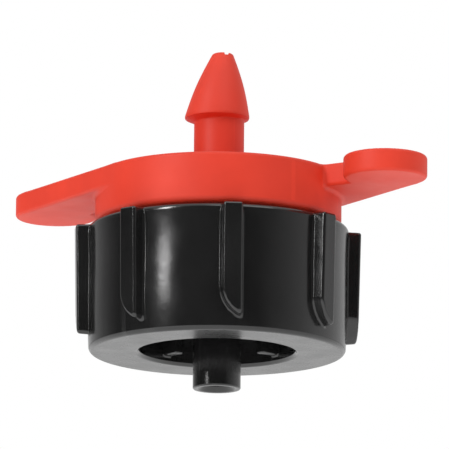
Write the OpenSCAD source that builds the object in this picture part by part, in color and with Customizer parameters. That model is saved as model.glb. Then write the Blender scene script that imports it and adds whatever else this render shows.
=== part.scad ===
// Take-apart pressure-compensating drip emitter: a winged base with a barbed
// inlet above, a ribbed screw cap with the outlet nipple below.
// Millimetres. +Z runs along the barb, the origin is on the flange's top face.

/* [Flange and ears] */
// Radius of the flange
flange_r = 9.8; // [9.6:0.1:9.8]
// Thickness of the flange
flange_h = 4.1; // [3.6:0.1:4.6]
// Rounding of the flange's lower edge
flange_round = 0.6; // [0.2:0.1:0.8]
// Thickness of the two ears, flush with the flange's top
ear_h = 1.8; // [1.2:0.1:2.2]
// Distance of an ear's centre from the axis
ear_reach = 15.5; // [15.1:0.1:16.2]
// Radius of an ear's round end
ear_r = 3.3; // [3.2:0.1:3.5]
// Angle of the first ear, clockwise from +X
ear_angle = 32.5; // [20:0.5:45]

/* [Barb] */
// Radius of the stem that the pipe wall grips
stem_r = 2.0; // [1.8:0.05:2.1]
// Height of the stem, up to the barb's underside
stem_h = 4.6; // [3.6:0.1:4.6]
// Largest radius of the barb
barb_r = 2.57; // [2.4:0.01:2.8]
// Height of the lower edge of the barb's widest band
barb_z = 4.7; // [4.6:0.05:5]
// Height of the barb's widest band
band_h = 0.2; // [0.1:0.05:0.6]
// Height of the barb's tip
tip_z = 10.05; // [9:0.05:11]
// Radius of the barb's tip
tip_r = 0.8; // [0.7:0.05:0.9]
// How far the barb's side bulges out from a straight cone
barb_bulge = 0.18; // [0.1:0.02:0.3]
// Lean of the barb towards +X, in degrees
barb_lean = 4.5; // [0:0.5:5]
// Radius of the water bore through the barb
inlet_r = 0.5; // [0.4:0.05:0.6]
// Width of the slot across the barb's tip
slot_w = 0.3; // [0.3:0.05:0.5]
// Depth of the slot across the barb's tip
slot_h = 0.2; // [0.2:0.05:0.8]
// Distance of the slot from the barb's axis
slot_x = 0.3; // [0:0.05:0.35]

/* [Spigot and thread] */
// Outside radius of the spigot under the flange
spigot_r = 8.5; // [8.4:0.05:8.5]
// Radius of the water chamber inside the spigot
chamber_r = 7.2; // [7.1:0.05:7.3]
// Height of the spigot's lower end
spigot_z = -8.4; // [-8.6:0.1:-8.2]
// Thickness of the flange above the water chamber
roof_h = 1.6; // [1.2:0.1:2]
// Axial travel of the cap in one full turn
thread_lead = 5.0; // [5:0.1:5.6]
// Number of thread starts
thread_starts = 2; // [2:1:2]
// How far a thread ridge stands out of its wall
ridge_h = 0.5; // [0.4:0.05:0.5]
// Width of a thread ridge at its root
ridge_root = 1.2; // [0.9:0.1:1.3]
// Width of a thread ridge at its crest
ridge_crest = 0.6; // [0.4:0.1:0.7]

/* [Cap] */
// Outside radius of the cap at its top
cap_top_r = 10.4; // [10.4:0.05:10.6]
// Outside radius of the cap at its bottom
cap_low_r = 10.2; // [10.2:0.05:10.4]
// Gap between the flange and the cap's top
cap_gap = 0.12; // [0.1:0.01:0.2]
// Height of the cap's bottom face
cap_z = -14.3; // [-14.6:0.1:-13.9]
// Radius of the bore that the spigot screws into
cap_bore_r = 9.15; // [9.1:0.05:9.2]
// Rounding of the cap's top edge
cap_top_round = 0.4; // [0.3:0.1:0.8]
// Rounding of the cap's bottom edge
cap_low_round = 0.4; // [0.2:0.1:0.6]
// Number of grip ribs
rib_n = 8; // [6:1:10]
// Width of a grip rib
rib_w = 1.6; // [1.4:0.1:2.2]
// Radius of the grip ribs' outer faces
rib_r = 11.4; // [11.1:0.1:11.8]
// Angle of the first rib, from -Y towards +X
rib_phase = 6.0; // [0:0.5:45]
// Height of a rib's lower end at its short edge
rib_short_z = -12.2; // [-12.6:0.1:-11.8]
// Height of a rib's lower end at its long edge
rib_long_z = -13.4; // [-13.7:0.1:-13.2]

/* [Outlet] */
// Radius of the outlet nipple
nipple_r = 1.9; // [1.8:0.05:2.1]
// Height of the nipple's open end
nipple_z = -17.2; // [-18:0.1:-16.6]
// Radius of the outlet bore
outlet_r = 1.1; // [0.9:0.05:1.2]
// Width of the bevel inside the nipple's mouth
mouth_bevel = 0.4; // [0.2:0.05:0.5]
// Radius of the well around the nipple
well_r = 6.15; // [6:0.05:6.3]
// Depth of the well
well_h = 2.9; // [2.7:0.1:3.1]
// Number of fins on the well's wall
fin_n = 4; // [4:1:6]
// Radius of the fins' inner ends
fin_r = 4.5; // [4.3:0.1:4.8]
// Thickness of a fin
fin_w = 0.8; // [0.6:0.1:1]
// Angle of the first fin, from +Y towards +X
fin_phase = 49; // [40:1:60]

/* [Inner parts] */
// Height of the cap's inner floor
floor_z = -10.2; // [-10.3:0.05:-10.1]
// Thickness of the housing seal
seal_h = 0.5; // [0.4:0.05:0.5]
// Outside radius of the labyrinth disc and of the housing seal
disc_r = 8.05; // [7.9:0.05:8.1]
// Height of the labyrinth disc's crown above its rim
crown_h = 1.9; // [1.8:0.1:2.2]
// Radius of the labyrinth disc's crown
crown_r = 6.9; // [6.8:0.05:7]
// Radius of the pocket that holds the diaphragm
pocket_r = 5.5; // [5.4:0.05:5.5]
// Height of the pocket
pocket_h = 1.7; // [1.65:0.05:1.8]
// Inner radius of the labyrinth channel
maze_in_r = 5.9; // [5.9:0.05:6]
// Outer radius of the labyrinth channel
maze_out_r = 7.6; // [7.5:0.05:7.6]
// Depth of the labyrinth channel
maze_h = 0.8; // [0.6:0.05:0.9]
// Number of teeth on each side of the channel
maze_teeth = 20; // [12:1:24]
// Thickness of the diaphragm
diaphragm_h = 0.8; // [0.7:0.05:0.8]
// Radius of the diaphragm
diaphragm_r = 5.3; // [5.2:0.05:5.3]
// Height of the seat that the diaphragm closes
seat_h = 0.5; // [0.4:0.05:0.5]
// Gap left between faces that slide or part
play = 0.05; // [0.03:0.01:0.06]
// Radius of the inlet filter
filter_r = 2.6; // [2.4:0.1:2.8]
// Height of the inlet filter
filter_h = 2.2; // [1.8:0.1:2.4]
// Number of slots in the filter's wall
filter_slots = 10; // [8:1:12]

/* [Hidden] */
$fn = 96;

over = 0.2;                              // overlap that joins a shape to its wall
ear_pos = [for (turn = [0, 180]) turn - ear_angle];
roof_z = -roof_h;
cap_top_z = -flange_h - cap_gap;
rim_z = spigot_z - play - seal_h;        // top of the labyrinth disc's rim
disc_z = floor_z + play;                 // underside of the labyrinth disc
crown_z = rim_z + crown_h;
pocket_z = disc_z + pocket_h;
diaphragm_z = floor_z + seat_h + play;
thread_pitch = thread_lead / thread_starts;
male_z = [-7.5, -5.0];                   // ends of the male ridges' centre lines
female_z = [-8.4, -5.3];                 // ends of the female ridges' centre lines
well_z = cap_z + well_h;
band_z = barb_z + band_h;                // top of the barb's widest band
lean_z = 7.0;                            // height about which the barb leans
well_bevel = 0.25;                       // bevel round the well's mouth
fin_recess = 0.3;                        // how far the fins stop short of the cap's face
filter_recess = 0.7;                     // depth of the filter's seat in the roof
groove_r = maze_out_r + 0.6;             // inner wall of the moulding relief
groove_z = cap_z + 1.3;                  // bottom of the moulding relief
seat_r = 2.0;                            // outside radius of the diaphragm's seat
port_r = 0.8;                            // radius of the pressure port
tooth_w = 0.35;                          // thickness of a labyrinth tooth
tooth_reach = 0.6 * (maze_out_r - maze_in_r);
gate = 20;                               // angle between the channel's first and last teeth
gate_w = 0.8;                            // thickness of the block between its ends
tooth_pitch = (360 - gate) / (2 * maze_teeth + 1);
port_angle = 0.75 * gate / 2 + 3;        // angle of the ports beside the block

// Point at a distance and an angle from the axis
function polar(r, a) = [r * cos(a), r * sin(a)];

// A tube from one height up to another
module tube(r_out, r_in, z_low, z_high) {
    translate([0, 0, z_low]) difference() {
        cylinder(r = r_out, h = z_high - z_low);
        translate([0, 0, -1]) cylinder(r = r_in, h = z_high - z_low + 2);
    }
}

// Plan of one ear on the +X axis: a round end and a web behind it, which touches
// the flange on the left and stops at the ear's own axis on the right
module ear_plan() {
    tangent = acos((flange_r - ear_r) / ear_reach);
    end_at = [ear_reach, 0];
    translate(end_at) circle(r = ear_r);
    polygon([
        [0, 0],
        polar(flange_r, tangent),
        end_at + polar(ear_r, tangent),
        end_at,
    ]);
}

// One trapezoid ridge wound round a wall of radius r. side is 1 when it stands
// outwards and -1 when it stands inwards. It starts at angle a0.
module ridge(r, side, z_ends, a0) {
    steps = 36;
    turn = 360 * (z_ends[1] - z_ends[0]) / thread_lead;
    root = r - side * over;
    crest = r + side * ridge_h;
    section = [
        [root, -ridge_root / 2],
        [crest, -ridge_crest / 2],
        [crest, ridge_crest / 2],
        [root, ridge_root / 2],
    ];
    points = [
        for (i = [0:steps])
        let (a = a0 + turn * i / steps, z = z_ends[0] + (z_ends[1] - z_ends[0]) * i / steps)
        for (p = section) [p[0] * cos(a), p[0] * sin(a), z + p[1]]
    ];
    walls = [
        for (i = [0:steps - 1], k = [0:3])
        let (n = (k + 1) % 4)
        [4 * i + k, 4 * i + n, 4 * i + 4 + n, 4 * i + 4 + k]
    ];
    low = [3, 2, 1, 0];
    high = [for (k = [0:3]) 4 * steps + k];
    faces = concat(walls, [low, high]);
    turned_faces = side > 0 ? faces : [for (f = faces) [for (k = [len(f) - 1:-1:0]) f[k]]];
    polyhedron(points, turned_faces, convexity = 6);
}

// All starts of one thread. lift shifts them along the axis by turning them.
module thread(r, side, z_ends, lift) {
    for (i = [0:thread_starts - 1]) {
        start = 360 * (z_ends[0] + lift) / thread_lead + i * 360 / thread_starts;
        ridge(r, side, z_ends, start);
    }
}

// The barb's head: a flared underside, a bulging side and a flat tip
module barb_head() {
    steps = 8;
    side = [
        for (i = [0:steps])
        let (t = i / steps)
        [barb_r + (tip_r - barb_r) * t + barb_bulge * sin(180 * t), band_z + (tip_z - band_z) * t]
    ];
    underside = [[0, stem_h - over], [stem_r - 0.15, stem_h - over], [barb_r, barb_z]];
    leaning() rotate_extrude() polygon(concat(underside, side, [[0, tip_z]]));
}

// Leans its children as the barb leans
module leaning() {
    translate([0, 0, lean_z]) rotate([0, barb_lean, 0]) translate([0, 0, -lean_z]) children();
}

// The water's way down the barb, bent where the barb starts to lean
module inlet_bore() {
    translate([0, 0, roof_z]) cylinder(r = inlet_r, h = lean_z - roof_z + over, $fn = 48);
    leaning() translate([0, 0, lean_z - over])
        cylinder(r = 0.9 * inlet_r, h = tip_z - lean_z + 1, $fn = 48);
}

module base() {
    color("orangered") difference() {
        union() {
            // flange with its rounded lower edge
            rotate_extrude() difference() {
                translate([0, -flange_h]) square([flange_r, flange_h]);
                translate([flange_r - flange_round, -flange_h]) difference() {
                    translate([0, -1]) square([flange_round + 1, flange_round + 1]);
                    translate([0, flange_round]) circle(r = flange_round, $fn = 64);
                }
            }
            translate([0, 0, -ear_h]) linear_extrude(ear_h)
                for (a = ear_pos) rotate(a) ear_plan();
            translate([0, 0, -over]) cylinder(r = stem_r, h = stem_h + over + 0.3);
            barb_head();
            translate([0, 0, spigot_z]) cylinder(r = spigot_r, h = -spigot_z - flange_h + over);
            thread(spigot_r, 1, male_z, 0);
        }
        translate([0, 0, spigot_z - 1]) cylinder(r = chamber_r, h = roof_z - spigot_z + 1);
        translate([0, 0, roof_z - 0.01]) cylinder(r = filter_r, h = filter_recess + 0.01);
        inlet_bore();
        leaning() translate([slot_x - slot_w / 2, -tip_r - 1, tip_z - slot_h])
            cube([slot_w, 2 * tip_r + 2, slot_h + 1]);
    }
}

module inlet_filter() {
    wall = 0.5;
    low_z = roof_z + filter_recess - filter_h;
    slot_low = low_z + 0.5;
    slot_high = roof_z - 0.2;
    color("ivory") difference() {
        translate([0, 0, low_z]) cylinder(r = filter_r, h = filter_h);
        translate([0, 0, low_z + wall]) cylinder(r = filter_r - wall, h = filter_h);
        for (i = [0:filter_slots - 1]) rotate(i * 360 / filter_slots)
            translate([filter_r - wall - 0.3, -0.2, slot_low])
                cube([wall + 0.6, 0.4, slot_high - slot_low]);
    }
}

module seal_ring() {
    color("dimgray") tube(disc_r, chamber_r + 0.05, rim_z, rim_z + seal_h);
}

// A block that stands in the labyrinth channel, from one radius out to another
module baffle(angle, from_r, to_r, width) {
    rotate(angle) translate([from_r, -width / 2, disc_z]) cube([to_r - from_r, width, maze_h + 0.1]);
}

module labyrinth_disc() {
    color("whitesmoke") difference() {
        union() {
            difference() {
                union() {
                    translate([0, 0, disc_z]) cylinder(r = disc_r, h = rim_z - disc_z);
                    translate([0, 0, disc_z]) cylinder(r = crown_r, h = crown_z - disc_z);
                }
                translate([0, 0, disc_z - 1]) cylinder(r = pocket_r, h = pocket_h + 1);
                tube(maze_out_r, maze_in_r, disc_z - 1, disc_z + maze_h);
            }
            // teeth from the two walls in turn, and the block between the channel's ends
            for (i = [1:2 * maze_teeth]) {
                angle = gate / 2 + tooth_pitch * i;
                if (i % 2 == 0) baffle(angle, maze_in_r - 0.1, maze_in_r + tooth_reach, tooth_w);
                else baffle(angle, maze_out_r - tooth_reach, maze_out_r + 0.1, tooth_w);
            }
            baffle(0, maze_in_r - 0.1, maze_out_r + 0.1, gate_w);
        }
        // pressure port over the diaphragm
        translate([0, 0, pocket_z - 1]) cylinder(r = port_r, h = crown_z - pocket_z + 2);
        // port down into the channel's start
        rotate(port_angle) translate([maze_in_r + port_r / 2, 0, disc_z + maze_h - 0.3])
            cylinder(r = port_r / 2, h = crown_z - disc_z, $fn = 32);
        // gap from the channel's end into the pocket
        rotate(-port_angle) translate([pocket_r - 0.3, -port_r / 2, disc_z - 1])
            cube([maze_in_r - pocket_r + 0.5, port_r, maze_h + 1]);
    }
}

module diaphragm() {
    color("peru") translate([0, 0, diaphragm_z]) cylinder(r = diaphragm_r, h = diaphragm_h);
}

// Side wall of the cap as a radial section, with its rounded edges
module cap_section() {
    steps = 6;
    top = [
        for (i = [0:steps])
        let (a = 90 * i / steps)
        [cap_top_r - cap_top_round, cap_top_z - cap_top_round] + cap_top_round * [cos(a), sin(a)]
    ];
    low = [
        for (i = [0:steps])
        let (a = -90 + 90 * i / steps)
        [cap_low_r - cap_low_round, cap_z + cap_low_round] + cap_low_round * [cos(a), sin(a)]
    ];
    polygon(concat([[0, cap_z]], low, top, [[0, cap_top_z]]));
}

// One grip rib on the +X axis, its lower end cut on the slant
module rib() {
    half = rib_w / 2;
    top = cap_top_z - 0.1;
    rotate([90, 0, 90]) linear_extrude(rib_r) polygon([
        [-half, top],
        [half, top],
        [half, rib_long_z],
        [-half, rib_short_z],
    ]);
}

// Everything that the cap is moulded round: its bore, its relief and the well
module cap_hollows() {
    translate([0, 0, floor_z]) cylinder(r = cap_bore_r, h = -floor_z);
    tube(cap_bore_r, groove_r, groove_z, floor_z + 0.1);
    difference() {
        union() {
            translate([0, 0, cap_z - 1]) cylinder(r = well_r, h = well_h + 1);
            translate([0, 0, cap_z - 1])
                cylinder(r1 = well_r + well_bevel + 1, r2 = well_r, h = well_bevel + 1);
        }
        translate([0, 0, nipple_z - 1]) cylinder(r = nipple_r, h = well_z - nipple_z + 2);
        for (i = [0:fin_n - 1]) rotate(90 - fin_phase + i * 360 / fin_n)
            translate([fin_r, -fin_w / 2, cap_z + fin_recess]) cube([well_r, fin_w, well_h]);
    }
}

module cap() {
    color("#222222") difference() {
        union() {
            difference() {
                union() {
                    rotate_extrude() cap_section();
                    for (i = [0:rib_n - 1]) rotate(-90 + rib_phase + i * 360 / rib_n) rib();
                    translate([0, 0, nipple_z]) cylinder(r = nipple_r, h = cap_z - nipple_z + 1);
                }
                cap_hollows();
            }
            thread(cap_bore_r, -1, female_z, thread_pitch / 2);
            translate([0, 0, floor_z - over]) cylinder(r = seat_r, h = seat_h + over);
        }
        translate([0, 0, nipple_z - 1]) cylinder(r = outlet_r, h = floor_z + seat_h - nipple_z + 2);
        translate([0, 0, nipple_z - 1])
            cylinder(r1 = outlet_r + mouth_bevel + 1, r2 = outlet_r, h = mouth_bevel + 1);
    }
}

base();
inlet_filter();
seal_ring();
labyrinth_disc();
diaphragm();
cap();
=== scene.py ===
"""Looks of the drip emitter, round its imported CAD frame.

Each piece is a solid described by a distance field in millimetres. net() lays a graded
cylindrical grid over the field and meshes its surface, with every edge and inner corner
rounded as a moulding is.
"""
import math
import bpy
import numpy as np
from mathutils import Matrix, Vector


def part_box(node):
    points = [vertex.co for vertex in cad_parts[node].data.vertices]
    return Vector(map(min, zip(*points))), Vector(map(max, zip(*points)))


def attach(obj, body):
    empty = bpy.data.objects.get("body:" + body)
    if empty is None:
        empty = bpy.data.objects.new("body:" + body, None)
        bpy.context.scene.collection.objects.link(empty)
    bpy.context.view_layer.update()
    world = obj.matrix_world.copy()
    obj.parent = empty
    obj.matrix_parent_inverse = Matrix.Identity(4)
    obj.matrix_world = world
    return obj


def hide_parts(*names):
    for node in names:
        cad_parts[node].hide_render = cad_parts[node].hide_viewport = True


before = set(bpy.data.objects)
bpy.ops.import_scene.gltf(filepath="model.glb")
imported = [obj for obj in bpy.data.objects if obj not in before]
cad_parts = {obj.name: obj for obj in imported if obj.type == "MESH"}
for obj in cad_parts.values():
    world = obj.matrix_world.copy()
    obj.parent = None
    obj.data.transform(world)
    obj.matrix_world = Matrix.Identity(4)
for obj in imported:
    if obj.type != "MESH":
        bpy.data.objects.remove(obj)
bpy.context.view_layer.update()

MM = 0.001


def ends_mm(node):
    """Lowest and highest z of a CAD node, in millimetres."""
    low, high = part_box(node)
    return np.array(low)[2] / MM, np.array(high)[2] / MM


# Sizes below are in millimetres. Heights (Z) count from the flange's top face. ROUND, FILLET
# and RIM are radii: of an outer edge, an inner corner and the edge round a hollow. BURIED
# and LAP say how far a shape runs on inside its neighbour.

# Flange and ears
FLANGE_R = 9.8
FLANGE_H = 4.1
FLANGE_ROUND = 0.6
# The flange is a slab with the ears over a round wall, and the two overlap
WALL_TOP_Z = -0.6
SLAB_Z = -FLANGE_H + 1
EAR_H = 1.8
EAR_REACH = 15.5
EAR_R = 3.3
EAR_ANGLE = math.radians(-32.5)
NECK_FILLET = 0.3
NECK_FADE_FROM, NECK_FADE = 0.6, 0.4
EAR_ROUND = 0.28
EAR_FILLET = 0.35

# Barb
STEM_R = 2.0
STEM_TOP = 4.8
STEM_ROUND, STEM_FILLET = 0.1, 0.35
STEM_ROOT_Z = -1
BARB_R = 2.57
BARB_Z = 4.7
BAND_Z = 4.9
BARB_UNDER = math.radians(22.6)
BARB_ROUND, BARB_FILLET = 0.06, 0.08
# Cosine of the head's slope, which turns a radius into a distance
BARB_SLOPE = 0.94
TIP_Z = 10.05
TIP_R = 0.8
TIP_ROUND = 0.16
BARB_BULGE = 0.18
LEAN = math.radians(4.5)
LEAN_Z = 7.0
INLET_R = 0.5
INLET_TIP_R = 0.9 * INLET_R
INLET_LAP = 0.2
SLOT_X, SLOT_W, SLOT_H = 0.3, 0.3, 0.2
SLOT_ROUND, HOLLOW_ROUND = 0.08, 0.08

# Spigot and thread
SPIGOT_R = 8.5
SPIGOT_Z = ends_mm("base")[0]
SPIGOT_TOP_Z = -3
SPIGOT_ROUND, SPIGOT_FILLET = 0.2, 0.12
CHAMBER_R, CHAMBER_ROUND = 7.2, 0.3
CHAMBER_RIM = 0.12
ROOF_Z = -1.6
FILTER_SEAT_R, FILTER_SEAT_H, FILTER_SEAT_ROUND = 2.6, 0.7, 0.1
LEAD, PITCH = 5.0, 2.5
RIDGE_H, RIDGE_ROOT, RIDGE_SLOPE = 0.5, 1.2, 0.6
RIDGE_ROUND, RIDGE_END_ROUND, RIDGE_FILLET = 0.14, 0.35, 0.1
RIDGE_BURIED = 0.3
MALE_Z = (-7.5, -5.0)
FEMALE_Z = (-8.4, -5.3)
FEMALE_SHIFT = PITCH / 2

# Cap
CAP_R, CAP_FLARE = 10.3, 0.12
NIPPLE_Z, CAP_TOP_Z = ends_mm("cap")
CAP_Z = -14.3
CAP_BORE_R, BORE_ROUND, BORE_RIM = 9.15, 0.2, 0.12
CAP_TOP_ROUND, CAP_LOW_ROUND = 0.4, 0.35
FLOOR_Z = -10.2
GROOVE_R, GROOVE_Z, GROOVE_ROUND = 8.2, -13.0, 0.1
GROOVE_LAP = 0.3
SEAT_R, SEAT_H, SEAT_BURIED = 2.0, 0.5, 0.5
SEAT_ROUND, SEAT_FILLET = 0.1, 0.1
RIB_N = 8
# The ribs' width, and the depth below their top at which they have it
RIB_W, RIB_W_DEPTH = 1.6, 0.5
RIB_DRAFT = 0.1
RIB_TOP_R, RIB_LOW_R = 11.4, 11.18
RIB_TOP_Z = CAP_TOP_Z - 0.1
RIB_SHORT_Z, RIB_LONG_Z = -12.2, -13.4
RIB_ANGLE = math.radians(-84.0)
RIB_LEFT_ROUND, RIB_RIGHT_ROUND, RIB_ROUND = 0.9, 0.45, 0.2
RIB_FILLET, RIB_FILLET_LEAST = 0.14, 0.01
RIB_FADE_FROM, RIB_FADE = 0.3, 0.4

# Outlet
NIPPLE_R = 1.9
NIPPLE_BURIED = 0.5
NIPPLE_ROUND, NIPPLE_FILLET = 0.12, 0.25
OUTLET_R, OUTLET_RIM = 1.1, 0.06
MOUTH_BEVEL = 0.4
WELL_R, WELL_Z = 6.15, -11.4
WELL_BEVEL, WELL_ROUND, WELL_RIM = 0.25, 0.3, 0.08
FIN_N = 4
FIN_R, FIN_W = 4.5, 0.8
FIN_RECESS = 0.6
FIN_ROUND, FIN_FILLET = 0.14, 0.15
FIN_BURIED_TOP, FIN_BURIED_SIDE = 0.3, 0.5
FIN_ANGLE = math.radians(41.0)


# ---- Distance fields: negative inside, positive outside ----

def joined(a, b, r):
    """Both solids, with a fillet of radius r where they meet."""
    u, v = np.maximum(r - a, 0), np.maximum(r - b, 0)
    return np.maximum(r, np.minimum(a, b)) - np.sqrt(u * u + v * v)


def common(a, b, r):
    """What two solids share, with its edge rounded to radius r."""
    u, v = np.maximum(r + a, 0), np.maximum(r + b, 0)
    return np.minimum(-r, np.maximum(a, b)) + np.sqrt(u * u + v * v)


def turned(x, y, angle):
    """Points seen from axes turned by angle about Z."""
    c, s = math.cos(angle), math.sin(angle)
    return x * c + y * s, y * c - x * s


def sector(x, y, first, count):
    """Points folded into one of count equal sectors, whose middle is at angle first."""
    width = 2 * math.pi / count
    angle = np.arctan2(y, x) - first
    angle = angle - width * np.round(angle / width)
    rho = np.hypot(x, y)
    return rho * np.cos(angle), rho * np.sin(angle)


def thread(x, y, z, wall_r, side, ends, shift):
    """Ridges of a two-start thread on a wall of radius wall_r, outwards for side 1."""
    height = side * (np.hypot(x, y) - wall_r)
    phase = z + shift - LEAD * np.arctan2(y, x) / (2 * math.pi)
    off = phase - PITCH * np.round(phase / PITCH)
    flank = np.abs(off) + RIDGE_SLOPE * height - RIDGE_ROOT / 2
    ridge = common(flank / math.hypot(1, RIDGE_SLOPE), height - RIDGE_H, RIDGE_ROUND)
    ridge = np.maximum(ridge, -RIDGE_BURIED - height)
    centre = z - off
    along = 2 * math.pi * wall_r / LEAD
    past = np.maximum(ends[0] - centre, centre - ends[1]) * along
    return common(ridge, past, RIDGE_END_ROUND)


def ear_plan(u, v, wall):
    """Plan of the flange and of one ear along the u axis. The ear's web touches the flange
    on the left and stops at the u axis on the right, in two corners with fillets that fade
    out to the left."""
    tangent = math.acos((FLANGE_R - EAR_R) / EAR_REACH)
    c, s = math.cos(tangent), math.sin(tangent)
    along = u * s - v * c
    across = np.maximum(u * c + v * s - FLANGE_R, -v)
    web = np.maximum(across, np.maximum(-along, along - EAR_REACH * s))
    fillet = NECK_FILLET * np.clip((NECK_FADE_FROM - v) / NECK_FADE, 0, 1)
    end = np.hypot(u - EAR_REACH, v) - EAR_R
    return joined(joined(web, end, fillet), wall, fillet)


def leaning(x, z):
    """x as seen from the barb's leaning axis."""
    return x - (z - LEAN_Z) * math.tan(LEAN)


def barb(x, y, z):
    """Stem and leaning head of the barb."""
    ends = np.maximum(z - STEM_TOP, STEM_ROOT_Z - z)
    stem = common(np.hypot(x, y) - STEM_R, ends, STEM_ROUND)
    rho = np.hypot(leaning(x, z), y)
    t = np.clip((z - BAND_Z) / (TIP_Z - BAND_Z), 0, 1)
    profile = BARB_R + (TIP_R - BARB_R) * t + BARB_BULGE * np.sin(math.pi * t)
    side = (rho - profile) * BARB_SLOPE
    under = (rho - BARB_R) * math.sin(BARB_UNDER) - (z - BARB_Z) * math.cos(BARB_UNDER)
    head = common(common(side, under, BARB_ROUND), z - TIP_Z, TIP_ROUND)
    return joined(stem, head, BARB_FILLET)


def barb_hollows(x, y, z):
    """The water bore, upright below and leaning above, and the slot across the tip."""
    lx = leaning(x, z)
    low = np.maximum(np.hypot(x, y) - INLET_R, z - LEAN_Z - INLET_LAP)
    high = np.maximum(np.hypot(lx, y) - INLET_TIP_R, LEAN_Z - INLET_LAP - z)
    slot = common(np.abs(lx - SLOT_X) - SLOT_W / 2, TIP_Z - SLOT_H - z, SLOT_ROUND)
    return np.minimum(np.minimum(low, high), slot)


def base_field(x, y, z):
    """Flange with its ears, barb above and threaded spigot below."""
    rho = np.hypot(x, y)
    wall = rho - FLANGE_R
    ears = [ear_plan(*turned(x, y, EAR_ANGLE + turn), wall) for turn in (0, math.pi)]
    plan = np.minimum(*ears)
    under = joined(wall, -EAR_H - z, EAR_FILLET)
    slab = common(under, common(plan, z, EAR_ROUND), EAR_ROUND)
    slab = np.maximum(slab, SLAB_Z - z)
    flange = common(wall, -FLANGE_H - z, FLANGE_ROUND)
    solid = np.minimum(slab, np.maximum(flange, z - WALL_TOP_Z))
    solid = joined(solid, barb(x, y, z), STEM_FILLET)
    ends = np.maximum(SPIGOT_Z - z, z - SPIGOT_TOP_Z)
    solid = joined(solid, common(rho - SPIGOT_R, ends, SPIGOT_ROUND), SPIGOT_FILLET)
    solid = joined(solid, thread(x, y, z, SPIGOT_R, 1, MALE_Z, 0), RIDGE_FILLET)
    chamber = common(rho - CHAMBER_R, z - ROOF_Z, CHAMBER_ROUND)
    seat = common(rho - FILTER_SEAT_R, z - ROOF_Z - FILTER_SEAT_H, FILTER_SEAT_ROUND)
    solid = common(solid, -np.minimum(chamber, seat), CHAMBER_RIM)
    return common(solid, -barb_hollows(x, y, z), HOLLOW_ROUND)


def rib(x, y, z):
    """Grip ribs with drafted flanks and slanting lower ends."""
    u, v = sector(x, y, RIB_ANGLE, RIB_N)
    half = RIB_W / 2
    drop = RIB_LONG_Z - RIB_SHORT_Z
    span = math.hypot(RIB_W, drop)
    end = ((v + half) * drop - (z - RIB_SHORT_Z) * RIB_W) / span
    bank = RIB_DRAFT * (RIB_TOP_R - RIB_W_DEPTH - u)
    left = common(-v - half - bank, end, RIB_LEFT_ROUND)
    face = np.maximum(left, common(v - half - bank, end, RIB_RIGHT_ROUND))
    face = common(face, z - RIB_TOP_Z, RIB_ROUND)
    share = (z - CAP_Z) / (RIB_TOP_Z - CAP_Z)
    outer = u - (RIB_LOW_R + (RIB_TOP_R - RIB_LOW_R) * share)
    return common(face, outer, RIB_ROUND)


def cap_shell(x, y, z):
    """Cap's bowed wall with its ribs."""
    level = 2 * (z - CAP_Z) / (CAP_TOP_Z - CAP_Z) - 1
    wall = np.hypot(x, y) - CAP_R - CAP_FLARE * level ** 3
    solid = common(wall, z - CAP_TOP_Z, CAP_TOP_ROUND)
    solid = common(solid, CAP_Z - z, CAP_LOW_ROUND)
    fade = np.clip((CAP_TOP_Z - RIB_FADE_FROM - z) / RIB_FADE, 0, 1)
    return joined(solid, rib(x, y, z), RIB_FILLET * fade + RIB_FILLET_LEAST)


def cap_field(x, y, z):
    """Cap with its well, fins, nipple, diaphragm seat, relief groove and inner thread."""
    rho = np.hypot(x, y)
    solid = cap_shell(x, y, z)
    bore = common(rho - CAP_BORE_R, FLOOR_Z - z, BORE_ROUND)
    relief = common(rho - CAP_BORE_R, GROOVE_R - rho, GROOVE_ROUND)
    relief = np.maximum(np.maximum(relief, GROOVE_Z - z), z - FLOOR_Z - GROOVE_LAP)
    solid = common(solid, -np.minimum(bore, relief), BORE_RIM)
    solid = joined(solid, thread(x, y, z, CAP_BORE_R, -1, FEMALE_Z, FEMALE_SHIFT), RIDGE_FILLET)
    ends = np.maximum(z - FLOOR_Z - SEAT_H, FLOOR_Z - SEAT_BURIED - z)
    solid = joined(solid, common(rho - SEAT_R, ends, SEAT_ROUND), SEAT_FILLET)
    mouth = rho - WELL_R - np.maximum(CAP_Z + WELL_BEVEL - z, 0)
    solid = common(solid, -common(mouth, z - WELL_Z, WELL_ROUND), WELL_RIM)
    ends = np.maximum(NIPPLE_Z - z, z - WELL_Z - NIPPLE_BURIED)
    solid = joined(solid, common(rho - NIPPLE_R, ends, NIPPLE_ROUND), NIPPLE_FILLET)
    u, v = sector(x, y, FIN_ANGLE, FIN_N)
    fin = common(np.abs(v) - FIN_W / 2, FIN_R - u, FIN_ROUND)
    fin = common(fin, CAP_Z + FIN_RECESS - z, FIN_ROUND)
    fin = np.maximum(fin, np.maximum(z - WELL_Z - FIN_BURIED_TOP, rho - WELL_R - FIN_BURIED_SIDE))
    solid = joined(solid, fin, FIN_FILLET)
    cone = (rho - OUTLET_R - MOUTH_BEVEL + (z - NIPPLE_Z)) / math.sqrt(2)
    return common(solid, -np.minimum(rho - OUTLET_R, cone), OUTLET_RIM)


# ---- Meshing ----

COARSE = 1.0
PROBE = 0.004
PULLS, LONGEST_PULL = 3, 0.08
NEARLY_ZERO = 1e-6


def lines(*stops):
    """Grid lines from stop to stop: value, step, value, step, ..., value."""
    made = [np.array([stops[0]], float)]
    for start, step, stop in zip(stops[0::2], stops[1::2], stops[2::2]):
        count = max(1, math.ceil((stop - start) / (step * COARSE) - NEARLY_ZERO))
        made.append(np.linspace(start, stop, count + 1)[1:])
    return np.concatenate(made)


def around(first, turn, count, stops):
    """Grid angles in degrees for count sectors, turn degrees apart. The stops' values, not
    their steps, count from each sector's middle, the first of which is at first."""
    part = []
    for k in range(count):
        at = first + turn * k
        part.append(lines(*[at + v if n % 2 == 0 else v for n, v in enumerate(stops)])[:-1])
    return np.concatenate(part)


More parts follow.
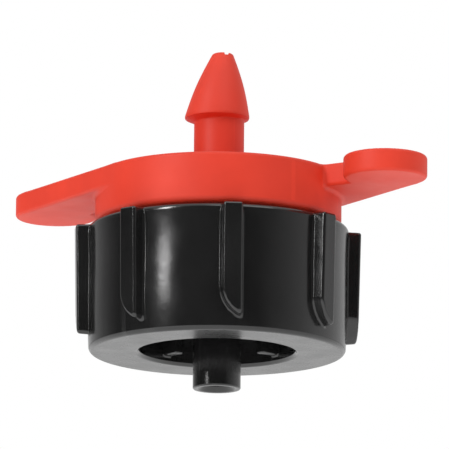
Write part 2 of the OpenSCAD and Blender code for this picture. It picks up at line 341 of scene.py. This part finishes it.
def gradient(field, p):
    """Unit direction in which the field grows, and its rate."""
    g = np.empty_like(p)
    for k in range(3):
        off = np.zeros(3)
        off[k] = PROBE
        g[:, k] = (field(*(p + off).T) - field(*(p - off).T)) / (2 * PROBE)
    size = np.maximum(np.linalg.norm(g, axis=1), NEARLY_ZERO)
    return g / size[:, None], size


def oriented(cells, flip):
    """Quads through four cells each, turned over where flip says."""
    quads = np.stack(cells, 1)
    quads[flip] = quads[flip][:, ::-1]
    return quads


def crossings(f, a, radii, heights, cells):
    """For each cell that the surface crosses, the mean of its crossings of the cell's edges."""
    ci, cj, ck = cells
    step = np.append(np.diff(a), a[0] + 2 * math.pi - a[-1])

    def corner(di, dj, dk):
        angle = a[ci] + di * step[ci]
        r = radii[cj + dj]
        p = np.stack([r * np.cos(angle), r * np.sin(angle), heights[ck + dk]], 1)
        return p, f[(ci + di) % len(a), cj + dj, ck + dk].astype(float)

    total, hits = np.zeros((len(ci), 3)), np.zeros(len(ci))
    at = {(i, j, k): corner(i, j, k) for i in (0, 1) for j in (0, 1) for k in (0, 1)}
    for key, (p, d) in at.items():
        for axis in range(3):
            if key[axis]:
                continue
            q, e = at[tuple(1 if n == axis else v for n, v in enumerate(key))]
            cut = (d < 0) != (e < 0)
            t = d / np.where(cut, d - e, 1)
            total += np.where(cut[:, None], p + t[:, None] * (q - p), 0)
            hits += cut
    return total / hits[:, None]


def faces(inside, ring, ids):
    """Quads round the grid edges that the surface crosses: along the angle, the radius and
    the height."""
    before = np.roll(ids, 1, 0)
    cut = inside != ring
    i, j, k = np.nonzero(cut[:, 1:-1, 1:-1])
    cell = ids[i, j, k], ids[i, j + 1, k], ids[i, j + 1, k + 1], ids[i, j, k + 1]
    quads = [oriented(cell, inside[i, j + 1, k + 1])]
    cut = inside[:, :-1] != inside[:, 1:]
    i, j, k = np.nonzero(cut[:, :, 1:-1])
    cell = before[i, j, k], before[i, j, k + 1], ids[i, j, k + 1], ids[i, j, k]
    quads.append(oriented(cell, inside[i, j, k + 1]))
    cut = inside[:, :, :-1] != inside[:, :, 1:]
    i, j, k = np.nonzero(cut[:, 1:-1, :])
    cell = before[i, j, k], ids[i, j, k], ids[i, j + 1, k], before[i, j + 1, k]
    quads.append(oriented(cell, inside[i, j + 1, k]))
    return np.concatenate(quads)


def net(name, field, radii, angles, heights, folds=1):
    """Closed quad mesh of the surface field = 0. angles cover one turn / folds, degrees,
    without the end; a part that repeats folds times round is evaluated once."""
    a = np.radians(angles)
    grid = np.meshgrid(a, radii, heights, indexing="ij")
    f = field(grid[1] * np.cos(grid[0]), grid[1] * np.sin(grid[0]), grid[2])
    f = np.concatenate([f] * folds).astype(np.float32)
    a = np.concatenate([a + 2 * math.pi * k / folds for k in range(folds)])
    f = np.where(f == 0, np.float32(1e-7), f)
    inside = f < 0
    ring = np.roll(inside, -1, 0)
    na, nr, nz = f.shape
    corners = [w[:, j:nr - 1 + j, k:nz - 1 + k] for w in (inside, ring) for j in (0, 1) for k in (0, 1)]
    cells = np.nonzero(np.logical_or.reduce(corners) & ~np.logical_and.reduce(corners))
    ids = np.full((na, nr - 1, nz - 1), -1, np.int64)
    ids[cells] = np.arange(len(cells[0]))
    points = crossings(f, a, radii, heights, cells)
    for _ in range(PULLS):
        direction, rate = gradient(field, points)
        move = np.clip(field(*points.T) / rate, -LONGEST_PULL, LONGEST_PULL)
        points -= move[:, None] * direction
    normals, _ = gradient(field, points)
    return make_piece(name, points, faces(inside, ring, ids), normals)


def make_piece(name, points, quads, normals):
    """Blender object of the quads, shaded with the field's own normals."""
    mesh = bpy.data.meshes.new(name)
    mesh.vertices.add(len(points))
    mesh.vertices.foreach_set("co", (points * MM).astype(np.float32).ravel())
    mesh.loops.add(quads.size)
    mesh.loops.foreach_set("vertex_index", quads.astype(np.int32).ravel())
    mesh.polygons.add(len(quads))
    mesh.polygons.foreach_set("loop_start", np.arange(0, quads.size, 4, dtype=np.int32))
    mesh.polygons.foreach_set("use_smooth", np.ones(len(quads), bool))
    mesh.update(calc_edges=True)
    mesh.validate()
    mesh.normals_split_custom_set_from_vertices(normals.tolist())
    piece = bpy.data.objects.new(name, mesh)
    bpy.context.scene.collection.objects.link(piece)
    return piece


# ---- Materials ----

def put(tree, socket, value):
    """Links an output to a socket, or sets the socket's own value."""
    if isinstance(value, bpy.types.NodeSocket):
        tree.links.new(value, socket)
    else:
        socket.default_value = value


def add_node(tree, kind, inputs=(), **settings):
    """A new node with its settings and inputs."""
    node = tree.nodes.new(kind)
    for key, value in settings.items():
        setattr(node, key, value)
    for key, value in dict(inputs).items():
        put(tree, node.inputs[key], value)
    return node


class Nodes:
    """A node material under construction."""

    def __init__(self, name):
        self.material = bpy.data.materials.new(name)
        self.material.use_nodes = True
        self.tree = self.material.node_tree
        self.shader = self.tree.nodes["Principled BSDF"]
        self.place = self.add("ShaderNodeTexCoord").outputs["Object"]

    def add(self, kind, inputs=(), **settings):
        """Adds a node to this material."""
        return add_node(self.tree, kind, inputs, **settings)

    def noise(self, scale, detail=3.0):
        """Noise over the piece, scale in waves a metre."""
        inputs = {"Vector": self.place, "Scale": scale, "Detail": detail, "Roughness": 0.5}
        return self.add("ShaderNodeTexNoise", inputs).outputs["Fac"]

    def spread(self, value, low, high, out_low, out_high):
        """value between low and high, spread between out_low and out_high."""
        inputs = {"Value": value, "From Min": low, "From Max": high, "To Min": out_low, "To Max": out_high}
        return self.add("ShaderNodeMapRange", inputs).outputs["Result"]

    def mix(self, factor, a, b):
        """Colour from a to b."""
        node = self.add("ShaderNodeMix", data_type="RGBA")
        for key, value in (("Factor", factor), ("A", a), ("B", b)):
            put(self.tree, next(s for s in node.inputs if s.name == key and s.enabled), value)
        return next(s for s in node.outputs if s.enabled)

    def combine(self, operation, a, b):
        """Sum, product or the like of two values."""
        return self.add("ShaderNodeMath", {0: a, 1: b}, operation=operation).outputs[0]

    def plug(self, socket, value):
        """Gives a value to the shader."""
        put(self.tree, self.shader.inputs[socket], value)


# Waves a metre
CLOUD_SCALE, WAVE_SCALE, GLOSS_SCALE, GRIME_SCALE, SKIN_SCALE = 180.0, 320.0, 420.0, 900.0, 2600.0
# Depths in metres
SKIN_DEPTH, WAVE_DEPTH = 0.00002, 0.0002
# Bands of noise, of pointiness and of the normal's height that the materials spread out
NOISE_BAND = (0.3, 0.7)
EDGE_BAND = (0.57, 0.7)
DOWN_BAND = (-0.8, -0.97)


def plastic(name, dark, light, worn, rough, bump, waves, ior=1.5, satin=0.0):
    """Moulded plastic: cloudy colour, fine skin, slow waves and rubbed edges. satin is the
    extra roughness of faces that look down, which the mould's floor leaves duller."""
    m = Nodes(name)
    cloud = m.spread(m.noise(CLOUD_SCALE), *NOISE_BAND, 0.0, 1.0)
    colour = m.mix(cloud, (*dark, 1), (*light, 1))
    surface = m.add("ShaderNodeNewGeometry").outputs
    edge = m.spread(surface["Pointiness"], *EDGE_BAND, 0.0, 1.0)
    rub = m.combine("MULTIPLY", edge, m.noise(GRIME_SCALE, 4.0))
    m.plug("Base Color", m.mix(rub, colour, (*worn, 1)))
    down = m.add("ShaderNodeSeparateXYZ", {0: surface["Normal"]}).outputs["Z"]
    dull = m.spread(down, *DOWN_BAND, 0.0, satin)
    gloss = m.spread(m.noise(GLOSS_SCALE, 4.0), *NOISE_BAND, *rough)
    m.plug("Roughness", m.combine("ADD", gloss, dull))
    m.plug("IOR", ior)
    skin = m.add("ShaderNodeBump", {"Height": m.noise(SKIN_SCALE, 3.0), "Strength": bump,
                                    "Distance": SKIN_DEPTH})
    wave = m.add("ShaderNodeBump", {"Height": m.noise(WAVE_SCALE, 2.0), "Strength": waves,
                                    "Distance": WAVE_DEPTH, "Normal": skin.outputs["Normal"]})
    m.plug("Normal", wave.outputs["Normal"])
    return m.material


RED = plastic(
    "red_plastic", dark=(0.64, 0.034, 0.013), light=(0.73, 0.042, 0.016), worn=(0.76, 0.048, 0.020),
    rough=(0.5, 0.6), bump=0.25, waves=0.05, ior=1.42)
BLACK = plastic(
    "black_plastic", dark=(0.008, 0.008, 0.008), light=(0.012, 0.012, 0.012), worn=(0.03, 0.03, 0.03),
    rough=(0.13, 0.2), bump=0.15, waves=0.1, ior=1.58, satin=0.11)
WHITE = plastic(
    "white_plastic", dark=(0.72, 0.72, 0.70), light=(0.80, 0.80, 0.78), worn=(0.85, 0.85, 0.84),
    rough=(0.35, 0.45), bump=0.2, waves=0.1)
NATURAL = plastic(
    "natural_plastic", dark=(0.66, 0.62, 0.52), light=(0.74, 0.70, 0.60), worn=(0.8, 0.78, 0.7),
    rough=(0.4, 0.5), bump=0.2, waves=0.1)
SILICONE = plastic(
    "silicone", dark=(0.46, 0.17, 0.075), light=(0.55, 0.22, 0.10), worn=(0.6, 0.3, 0.18),
    rough=(0.45, 0.6), bump=0.3, waves=0.1)
RUBBER = plastic(
    "seal_rubber", dark=(0.02, 0.02, 0.02), light=(0.035, 0.035, 0.034), worn=(0.08, 0.08, 0.08),
    rough=(0.5, 0.65), bump=0.4, waves=0.1)


def dress(piece, material, body, node):
    """Gives a new piece its material and its body, and hides the CAD node that it stands for."""
    piece.data.materials.clear()
    piece.data.materials.append(material)
    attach(piece, body)
    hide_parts(node)


def dress_node(node, material):
    """Gives a shown CAD node its material."""
    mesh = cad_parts[node].data
    mesh.materials.clear()
    mesh.materials.append(material)


# ---- Pieces ----

# Grid lines of the meshes: value, step, value, ..., in millimetres, or in degrees from the
# middle of an ear or a rib. They are fine where the surface bends.
BASE_RADII = (0.2, 0.1, 1.0, 0.1, 2.8, 0.45, 6.8, 0.12, 7.5, 0.25, 8.3, 0.1, 10.3, 0.17, 19.1)
BASE_HEIGHTS = (-8.6, 0.1, -8.1, 0.17, -4.3, 0.09, -3.3, 0.25, -2.2, 0.09, 0.5, 0.5, 4.0, 0.07, 5.2,
                0.35, 9.5, 0.06, 10.3)
EAR_TURN, EAR_N = 180, 2
EAR_STOPS = (-18, 0.8, 14, 1.6, 70, 2.7, 162)
CAP_RADII = (0.85, 0.14, 2.4, 0.5, 4.2, 0.12, 4.9, 0.3, 5.8, 0.09, 6.6, 0.45, 8.0, 0.14, 9.6, 0.1, 11.7)
CAP_HEIGHTS = (-17.4, 0.1, -16.6, 0.6, -14.6, 0.09, -13.8, 0.16, -10.0, 0.27, -4.9, 0.09, -4.1)
CAP_FOLDS = 2
RIB_TURN = 360 // RIB_N
RIB_STOPS = (-6.6, 0.5, -2.6, 1.3, 2.6, 0.5, 6.6, 3.2, 38.4)

base = net(
    "emitter_base",
    base_field,
    lines(*BASE_RADII),
    around(math.degrees(EAR_ANGLE), EAR_TURN, EAR_N, EAR_STOPS),
    lines(*BASE_HEIGHTS),
)
dress(base, RED, "base", "base")

cap = net(
    "screw_cap",
    cap_field,
    lines(*CAP_RADII),
    around(math.degrees(RIB_ANGLE), RIB_TURN, RIB_N // CAP_FOLDS, RIB_STOPS),
    lines(*CAP_HEIGHTS),
    folds=CAP_FOLDS,
)
dress(cap, BLACK, "cap", "cap")

dress_node("inlet_filter", NATURAL)
dress_node("seal_ring", RUBBER)
dress_node("labyrinth_disc", WHITE)
dress_node("diaphragm", SILICONE)


# ---- Camera, light and floor ----

# The camera looks at TARGET. Its distance is in metres, and PX_PER_MM is the scale there.
TARGET = Vector((0.5, 0.0, -3.87)) * MM
DISTANCE = 0.55
ELEVATION = math.radians(-11.7)
ROLL = math.radians(0.55)
PX_PER_MM = 12.57
FRAME_PX = 449
SENSOR = 36.0
CLIP = (0.01, 20.0)

# The surroundings: brightness of the sides, from the far to the dark direction, and of the
# dome above, each with the band over which it changes
DARK_AZIMUTH, DARK_LEVEL, DARK_RISE = 30.0, 0.98, 0.2
SIDE_BAND, SIDE_LIGHT = (-0.6, 0.4), (0.74, 0.03)
DOME_BAND, DOME = (0.42, 0.85), 0.95

# The floor, in metres. It glows a little, which lights the cap's bottom face.
FLOOR_SIZE, FLOOR_LEVEL = 3.0, -0.16
FLOOR_GLOW = 0.30


def make_camera():
    """Camera below the flange, looking up at the drip emitter."""
    data = bpy.data.cameras.new("camera")
    data.sensor_width = SENSOR
    data.lens = PX_PER_MM / MM * DISTANCE / FRAME_PX * SENSOR
    data.clip_start, data.clip_end = CLIP
    camera = bpy.data.objects.new("camera", data)
    bpy.context.scene.collection.objects.link(camera)
    back = Vector((0, -math.cos(ELEVATION), math.sin(ELEVATION)))
    camera.location = TARGET + back * DISTANCE
    turn = (-back).to_track_quat("-Z", "Y").to_matrix().to_4x4() @ Matrix.Rotation(ROLL, 4, "Z")
    camera.rotation_euler = turn.to_euler()
    bpy.context.scene.camera = camera


def softbox(name, azimuth, elevation, width, height, power, distance=0.9):
    """Area light that faces the object; azimuth 0 is the camera's side, + is left."""
    a, e = math.radians(azimuth), math.radians(elevation)
    data = bpy.data.lights.new(name, "AREA")
    data.shape, data.size, data.size_y = "RECTANGLE", width, height
    data.energy = power
    light = bpy.data.objects.new(name, data)
    bpy.context.scene.collection.objects.link(light)
    away = Vector((-math.sin(a) * math.cos(e), -math.cos(a) * math.cos(e), math.sin(e)))
    light.location = TARGET + away * distance
    light.rotation_euler = away.to_track_quat("Z", "Y").to_euler()


def make_world():
    """White surroundings, darker on the camera's side where the front walls look."""
    world = bpy.data.worlds.new("studio")
    bpy.context.scene.world = world
    world.use_nodes = True
    tree = world.node_tree
    tree.nodes.clear()
    white = (1, 1, 1, 1)

    def add(kind, inputs=(), **settings):
        return add_node(tree, kind, inputs, **settings).outputs

    direction = add("ShaderNodeTexCoord")["Generated"]
    dark = math.radians(DARK_AZIMUTH)
    centre = (-math.sin(dark) * DARK_LEVEL, -math.cos(dark) * DARK_LEVEL, DARK_RISE)
    facing = add("ShaderNodeVectorMath", {0: direction, 1: centre}, operation="DOT_PRODUCT")["Value"]
    side = add("ShaderNodeMapRange", {"Value": facing, "From Min": SIDE_BAND[0], "From Max": SIDE_BAND[1],
                                      "To Min": SIDE_LIGHT[0], "To Max": SIDE_LIGHT[1]})["Result"]
    height = add("ShaderNodeSeparateXYZ", {0: direction})["Z"]
    dome = add("ShaderNodeMapRange", {"Value": height, "From Min": DOME_BAND[0], "From Max": DOME_BAND[1]},
               interpolation_type="SMOOTHSTEP")["Result"]
    bright = add("ShaderNodeMix", {0: dome, 2: side, 3: DOME}, data_type="FLOAT")[0]
    seen = add("ShaderNodeLightPath")["Is Camera Ray"]
    lit = add("ShaderNodeBackground", {"Color": white, "Strength": bright})[0]
    plain = add("ShaderNodeBackground", {"Color": white, "Strength": 1.0})[0]
    both = add("ShaderNodeMixShader", {0: seen, 1: lit, 2: plain})[0]
    add("ShaderNodeOutputWorld", {"Surface": both})


def make_floor():
    """A plain pale floor under the camera."""
    around_it = [(-1, -1), (1, -1), (1, 1), (-1, 1)]
    mesh = bpy.data.meshes.new("floor")
    mesh.from_pydata([(x * FLOOR_SIZE, y * FLOOR_SIZE, FLOOR_LEVEL) for x, y in around_it],
                     [], [(0, 1, 2, 3)])
    floor = bpy.data.objects.new("floor", mesh)
    bpy.context.scene.collection.objects.link(floor)
    m = Nodes("floor")
    m.plug("Base Color", m.mix(m.noise(3.0), (0.86, 0.86, 0.86, 1), (0.9, 0.9, 0.9, 1)))
    m.plug("Roughness", 0.9)
    m.plug("Emission Color", (1, 1, 1, 1))
    m.plug("Emission Strength", FLOOR_GLOW)
    mesh.materials.append(m.material)


make_camera()
make_world()
make_floor()
softbox("key", azimuth=48.5, elevation=24.5, width=0.14, height=0.42, power=4.0)
softbox("fill", azimuth=-25, elevation=48, width=0.8, height=0.5, power=2.3)
bpy.context.scene.view_settings.view_transform = "Standard"
